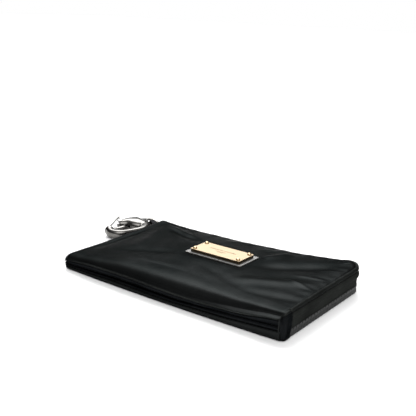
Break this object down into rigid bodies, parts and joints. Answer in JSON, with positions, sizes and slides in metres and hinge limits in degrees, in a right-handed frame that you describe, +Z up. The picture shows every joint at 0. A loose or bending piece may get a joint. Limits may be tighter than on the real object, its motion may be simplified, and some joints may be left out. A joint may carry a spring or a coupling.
{
  "type": "zippered pouch",
  "caption": "Flat black nylon pouch with a corner zip, folded gussets, a screwed metal nameplate and a claw hook on a webbing tab.",
  "frame": {"origin": "centre of the fabric body's underside, where the pouch rests", "axes": "+X along the pouch from the hook end to the zip side, +Y from the folded bottom edge to the far zip edge, +Z up out of the front panel"},
  "size_m": [0.197, 0.1068, 0.0183],
  "materials": {
    "nylon": "tightly woven black nylon with a satin sheen",
    "nylon_welt": "black nylon turned over a filler cord",
    "nylon_gusset": "thin black nylon, slightly glossy where creased",
    "lining_cloth": "plain matt lining",
    "zip_tape": "woven black polyester tape",
    "zip_teeth": "moulded black plastic, semi-gloss",
    "zip_metal": "black enamelled die casting",
    "plate_gold": "satin gold plate with dark sides",
    "plate_silver": "fine brushed silver plate",
    "screw_brass": "polished domed heads",
    "webbing": "narrow ribbed nylon webbing",
    "hook_metal": "polished gunmetal plating",
    "gate_metal": "polished gunmetal plating",
    "pin_steel": "bright rivet",
    "spring_steel": "spring wire"
  },
  "bodies": {
    "back_half": {"back_panel": "nylon", "back_lining": "lining_cloth", "back_welt": "nylon_welt", "bottom_gusset": "nylon_gusset", "left_gusset": "nylon_gusset", "zip_tape_back": "zip_tape", "zip_teeth_back": "zip_teeth", "top_stop_back": "zip_teeth", "zip_bottom_stop": "zip_teeth", "zip_end_tab": "nylon_welt", "tab_anchor": "webbing"},
    "front_half": {"front_panel": "nylon", "front_lining": "lining_cloth", "front_welt": "nylon_welt", "zip_tape_front": "zip_tape", "zip_teeth_front": "zip_teeth", "top_stop_front": "zip_teeth", "nameplate_base": "plate_silver", "nameplate_face": "plate_gold", "nameplate_backer": "plate_silver", "nameplate_screws": "screw_brass"},
    "slider": {"zip_slider": "zip_metal"},
    "puller": {"zip_puller": "zip_metal"},
    "tab": {"tab_strap": "webbing"},
    "hook": {"hook_body": "hook_metal", "gate_pin": "pin_steel", "gate_spring": "spring_steel"},
    "gate": {"hook_gate": "gate_metal"}
  },
  "joints": [
    {"name": "mouth_open", "type": "hinge", "parent": "back_half", "child": "front_half", "pos_m": [0, -0.0476, 0.014], "axis": [1, 0, 0], "range_deg": [0, 20], "deforming": ["bottom_gusset", "left_gusset", "zip_teeth_front", "zip_teeth_back"]},
    {"name": "slider_run", "type": "slide", "parent": "back_half", "child": "slider", "axis": [1, 0, 0], "range_m": [0, 0.12], "deforming": ["zip_teeth_front", "zip_teeth_back"]},
    {"name": "puller_swing", "type": "hinge", "parent": "slider", "child": "puller", "pos_m": [-0.066, 0.0504, 0.0046], "axis": [0, 0, 1], "range_deg": [0, 175]},
    {"name": "tab_bend", "type": "hinge", "parent": "back_half", "child": "tab", "pos_m": [-0.081, 0.047, 0.0072], "axis": [0, 1, 0], "range_deg": [0, 60]},
    {"name": "hook_swing", "type": "hinge", "parent": "tab", "child": "hook", "pos_m": [-0.0945, 0.0528, 0.0035], "axis": [0, 0, 1], "range_deg": [-70, 0]},
    {"name": "gate_swing", "type": "hinge", "parent": "hook", "child": "gate", "pos_m": [-0.10744, 0.03318, 0.0038], "axis": [0, 0, 1], "range_deg": [0, 25], "stiffness_Nm_per_rad": 0.02, "springref_deg": -17.19, "deforming": ["gate_spring"]}
  ]
}
